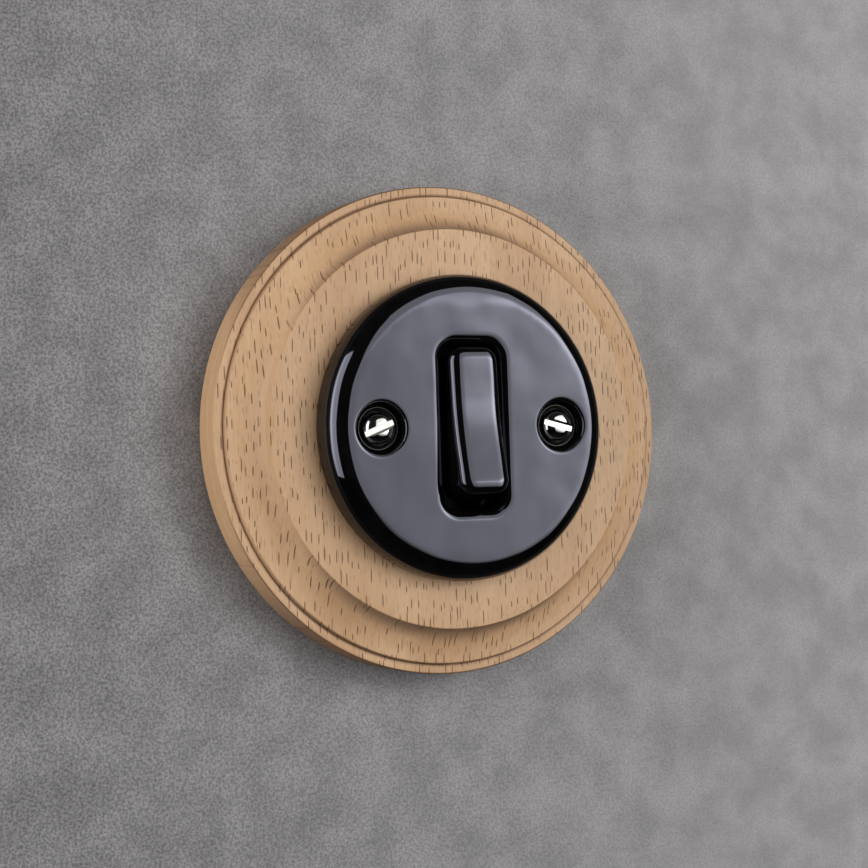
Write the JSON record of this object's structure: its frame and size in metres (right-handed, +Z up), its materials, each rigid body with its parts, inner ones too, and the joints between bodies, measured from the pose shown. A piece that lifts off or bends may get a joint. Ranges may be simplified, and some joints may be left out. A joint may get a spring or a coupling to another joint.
{
  "type": "ceramic light switch",
  "caption": "Round light switch: black glazed ceramic cover and tilting rocker on a turned wooden backplate, with a changeover mechanism that goes into a wall box.",
  "frame": {"origin": "centre of the switch on the wall plane, where the wooden backplate and the support plate meet the wall", "axes": "+Z up the wall, +X to the right as seen from the room, +Y into the wall; the front faces -Y"},
  "size_m": [0.105, 0.047, 0.105],
  "materials": {
    "pale_hardwood": "turned beech, sanded and oiled, satin",
    "black_glaze": "black gloss glaze",
    "nickel_plate": "bright nickel plate",
    "washer_fibre": "black fibre",
    "plated_steel": "zinc plated",
    "spring_steel": "bright drawn",
    "black_moulding": "moulded, matt",
    "base_moulding": "moulded, pale grey, matt",
    "plunger_nylon": "natural nylon",
    "contact_brass": "rolled strip",
    "terminal_brass": "turned and milled",
    "contact_silver": "silver contact metal"
  },
  "bodies": {
    "switch": {"bearing_bridge": "black_moulding", "bridge_screws": "plated_steel", "ceramic_cover": "black_glaze", "common_strip": "contact_brass", "contact_base": "base_moulding", "cover_screw_left": "nickel_plate", "cover_screw_right": "nickel_plate", "cover_washer_left": "washer_fibre", "cover_washer_right": "washer_fibre", "fixed_strip_lower": "contact_brass", "fixed_strip_upper": "contact_brass", "fixed_tip_lower": "contact_silver", "fixed_tip_upper": "contact_silver", "pivot_pin": "spring_steel", "support_plate": "plated_steel", "terminal_lower_left": "terminal_brass", "terminal_lower_right": "terminal_brass", "terminal_screw_lower_left": "plated_steel", "terminal_screw_lower_right": "plated_steel", "terminal_screw_upper_left": "plated_steel", "terminal_screw_upper_right": "plated_steel", "terminal_upper_left": "terminal_brass", "terminal_upper_right": "terminal_brass", "wood_backplate": "pale_hardwood"},
    "rocker": {"rocker_key": "black_glaze", "rocker_cradle": "black_moulding", "plunger_spring": "spring_steel"},
    "plunger": {"plunger": "plunger_nylon"},
    "lever": {"contact_lever": "contact_brass", "lever_tip_upper": "contact_silver", "lever_tip_lower": "contact_silver"}
  },
  "joints": [
    {"name": "rocker_tilt", "type": "hinge", "parent": "switch", "child": "rocker", "pos_m": [0, -0.016, 0], "axis": [1, 0, 0], "range_deg": [0, 16]},
    {"name": "lever_rock", "type": "hinge", "parent": "switch", "child": "lever", "pos_m": [0, -0.00045, 0], "axis": [1, 0, 0], "range_deg": [-20, 0]},
    {"name": "plunger_slide", "type": "slide", "parent": "rocker", "child": "plunger", "axis": [0, 0.9903, -0.1392], "range_m": [-0.0006, 0.0003], "stiffness_N_per_m": 150, "deforming": ["plunger_spring"]}
  ],
  "couplings": [
    {"joint": "lever_rock", "follows": "rocker_tilt", "ratio": -1.25}
  ]
}
